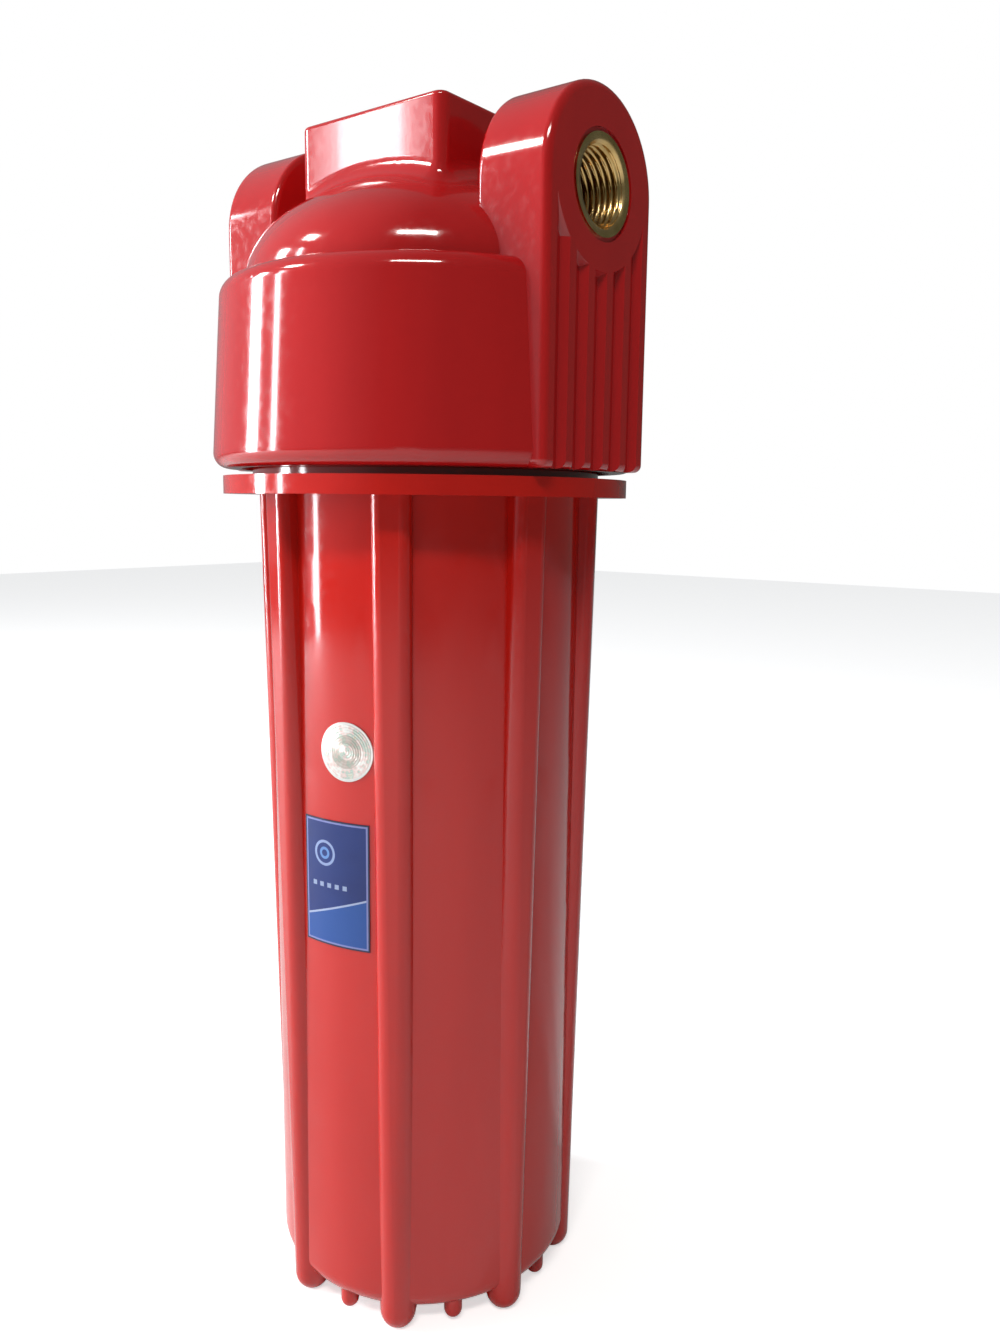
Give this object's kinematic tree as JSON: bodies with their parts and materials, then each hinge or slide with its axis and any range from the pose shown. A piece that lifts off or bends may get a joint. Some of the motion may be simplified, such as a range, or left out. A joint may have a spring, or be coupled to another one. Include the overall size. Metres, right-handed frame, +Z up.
{
  "type": "water filter housing",
  "caption": "Opaque red inline water filter housing: ribbed screw-on bowl with feet, domed head with two threaded brass ports on opposite sides, cartridge inside.",
  "frame": {"origin": "centre of the underside, on the bowl's axis, in the plane that the feet stand on", "axes": "+Z up along the bowl's axis to the bracket platform, +X out of the outlet port, +Y away from the labelled front"},
  "size_m": [0.116, 0.1198, 0.3354],
  "materials": {
    "head_plastic": "glossy",
    "bowl_plastic": "glossy",
    "port_brass": "machined",
    "seal_rubber": "matt",
    "core_plastic": "matt",
    "winding": "wound cord",
    "label_film": "printed film",
    "sticker_foil": "embossed foil"
  },
  "bodies": {
    "head": {"head": "head_plastic", "outlet_insert": "port_brass", "inlet_insert": "port_brass"},
    "seal": {"bowl_seal": "seal_rubber"},
    "bowl": {"bowl": "bowl_plastic", "label": "label_film", "round_sticker": "sticker_foil", "cartridge_core": "core_plastic", "cartridge_winding": "winding"}
  },
  "joints": [
    {"name": "bowl_lower", "type": "slide", "parent": "head", "child": "seal", "axis": [0, 0, -1], "range_m": [0, 0.018]},
    {"name": "bowl_unscrew", "type": "hinge", "parent": "seal", "child": "bowl", "pos_m": [0, 0, 0.2396], "axis": [0, 0, -1], "range_deg": [0, 1080]}
  ],
  "couplings": [
    {"joint": "bowl_lower", "follows": "bowl_unscrew", "m_per_rad": 0.00095492}
  ]
}
